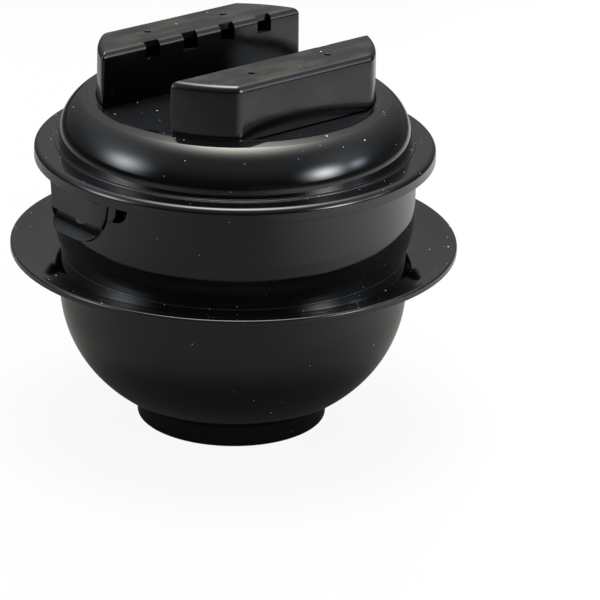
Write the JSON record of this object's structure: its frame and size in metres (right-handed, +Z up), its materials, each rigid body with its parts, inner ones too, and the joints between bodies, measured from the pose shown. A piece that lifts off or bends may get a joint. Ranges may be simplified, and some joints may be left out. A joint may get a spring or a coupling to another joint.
{
  "type": "lidded microwave cooking bowl",
  "caption": "Round footed bowl with a saucer brim round its neck, a vented inner lid and a domed upper lid with hollow steam handles and sprung lock tabs.",
  "frame": {"origin": "centre of the foot ring's underside", "axes": "+Z up along the axis of the bowl, +X along the handles"},
  "size_m": [0.177, 0.177, 0.155],
  "materials": {
    "pot_plastic": "black moulded polypropylene, polished, slightly softer on the bowl",
    "inner_lid_plastic": "black moulded polypropylene, satin",
    "lid_plastic": "black moulded polypropylene, high gloss",
    "handle_plastic": "black moulded polypropylene, high gloss with faint sink marks"
  },
  "bodies": {
    "pot": {"pot_body": "pot_plastic", "pot_brim": "pot_plastic"},
    "inner_lid": {"inner_lid": "inner_lid_plastic"},
    "upper_lid": {"upper_lid": "lid_plastic", "rear_handle": "handle_plastic", "front_handle": "handle_plastic"},
    "lock_tab_left": {"lock_tab_left": "lid_plastic"},
    "lock_tab_right": {"lock_tab_right": "lid_plastic"}
  },
  "joints": [
    {"name": "inner_lid_lift", "type": "slide", "parent": "pot", "child": "inner_lid", "axis": [0, 0, 1], "range_m": [0, 0.04]},
    {"name": "upper_lid_lift", "type": "slide", "parent": "inner_lid", "child": "upper_lid", "axis": [0, 0, 1], "range_m": [0, 0.06]},
    {"name": "left_tab_flex", "type": "hinge", "parent": "upper_lid", "child": "lock_tab_left", "pos_m": [-0.0706, 0.006, 0.1058], "axis": [0, 1, 0], "range_deg": [0, 8], "stiffness_Nm_per_rad": 0.4, "springref_deg": -2.86},
    {"name": "right_tab_flex", "type": "hinge", "parent": "upper_lid", "child": "lock_tab_right", "pos_m": [0.0706, -0.006, 0.1058], "axis": [0, -1, 0], "range_deg": [0, 8], "stiffness_Nm_per_rad": 0.4, "springref_deg": -2.86}
  ]
}
